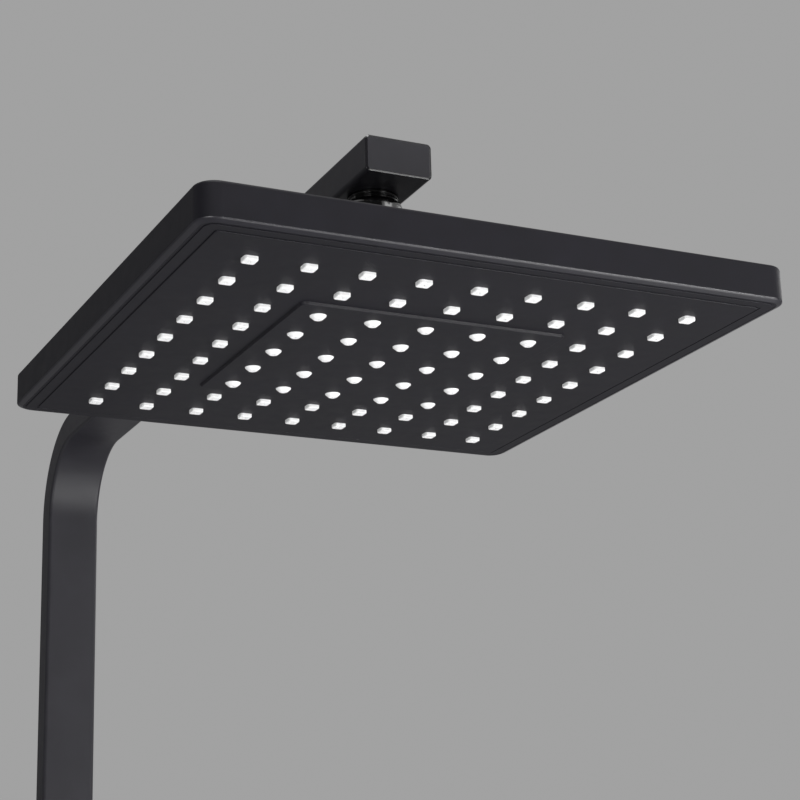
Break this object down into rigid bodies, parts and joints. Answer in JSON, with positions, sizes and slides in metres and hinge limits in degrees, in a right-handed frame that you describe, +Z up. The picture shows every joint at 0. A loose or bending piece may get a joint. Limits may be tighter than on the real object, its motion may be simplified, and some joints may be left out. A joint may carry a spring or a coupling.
{
  "type": "overhead shower",
  "caption": "Wall-hung overhead shower: a bent rectangular column carries a square rain head on a ball joint, with a union nut at its foot and a wall bracket.",
  "frame": {"origin": "on the wall, at the centre of the wall bracket's two screw holes, on the back face of the wall plate", "axes": "+Y into the wall, +Z up along the riser, +X to the right of a person who faces the wall; the arm and head stand out on the -Y side"},
  "size_m": [0.24, 0.613, 0.8455],
  "materials": {
    "black_painted_metal": "matte black powder coat on steel tube and bracket",
    "black_plated_brass": "glossy black plating on brass",
    "black_plastic": "matte black coated plastic",
    "grey_plastic": "bare moulded plastic, inside",
    "white_silicone": "white silicone, soft sheen",
    "black_rubber": "moulded seal rubber",
    "steel": "bare stainless steel"
  },
  "bodies": {
    "column": {"column_tube": "black_painted_metal", "arm_end_cap": "black_painted_metal", "outlet_nipple": "black_plated_brass", "ball_stem": "black_plated_brass", "filter_washer": "black_rubber", "flow_regulator": "grey_plastic", "column_foot": "black_plated_brass", "union_washer": "black_rubber", "wall_plate": "steel", "post_screw": "steel", "bracket_cover": "black_painted_metal", "bracket_post": "black_painted_metal", "bracket_sleeve": "black_painted_metal", "sleeve_screw": "steel", "grub_screws": "steel"},
    "union_nut": {"union_nut": "black_plated_brass"},
    "ball_seat": {"ball_seat": "black_rubber"},
    "slip_ring": {"slip_ring": "grey_plastic"},
    "rain_head": {"hub_socket": "black_plated_brass", "hub_seal": "black_rubber", "ball_nut": "black_plated_brass", "hub_lock_nut": "black_plated_brass", "head_cover": "black_plastic", "cover_seal": "black_rubber", "distribution_plate": "grey_plastic", "chamber_screws": "steel", "nozzle_mat_outer": "white_silicone", "nozzle_mat_inner": "white_silicone", "face_plate": "black_plastic", "face_screws": "steel", "trim_frame": "black_plastic", "centre_panel": "black_plastic"}
  },
  "joints": [
    {"name": "head_spin", "type": "hinge", "parent": "column", "child": "ball_seat", "pos_m": [0, -0.493, 0.2465], "axis": [0, 0, 1], "continuous": true},
    {"name": "head_tilt", "type": "hinge", "parent": "ball_seat", "child": "slip_ring", "pos_m": [0, -0.493, 0.2465], "axis": [1, 0, 0], "range_deg": [-12, 12]},
    {"name": "head_roll", "type": "hinge", "parent": "slip_ring", "child": "rain_head", "pos_m": [0, -0.493, 0.2465], "axis": [0, 1, 0], "range_deg": [-12, 12]},
    {"name": "union_turn", "type": "hinge", "parent": "column", "child": "union_nut", "pos_m": [0, -0.05, -0.537], "axis": [0, 0, 1], "continuous": true}
  ]
}
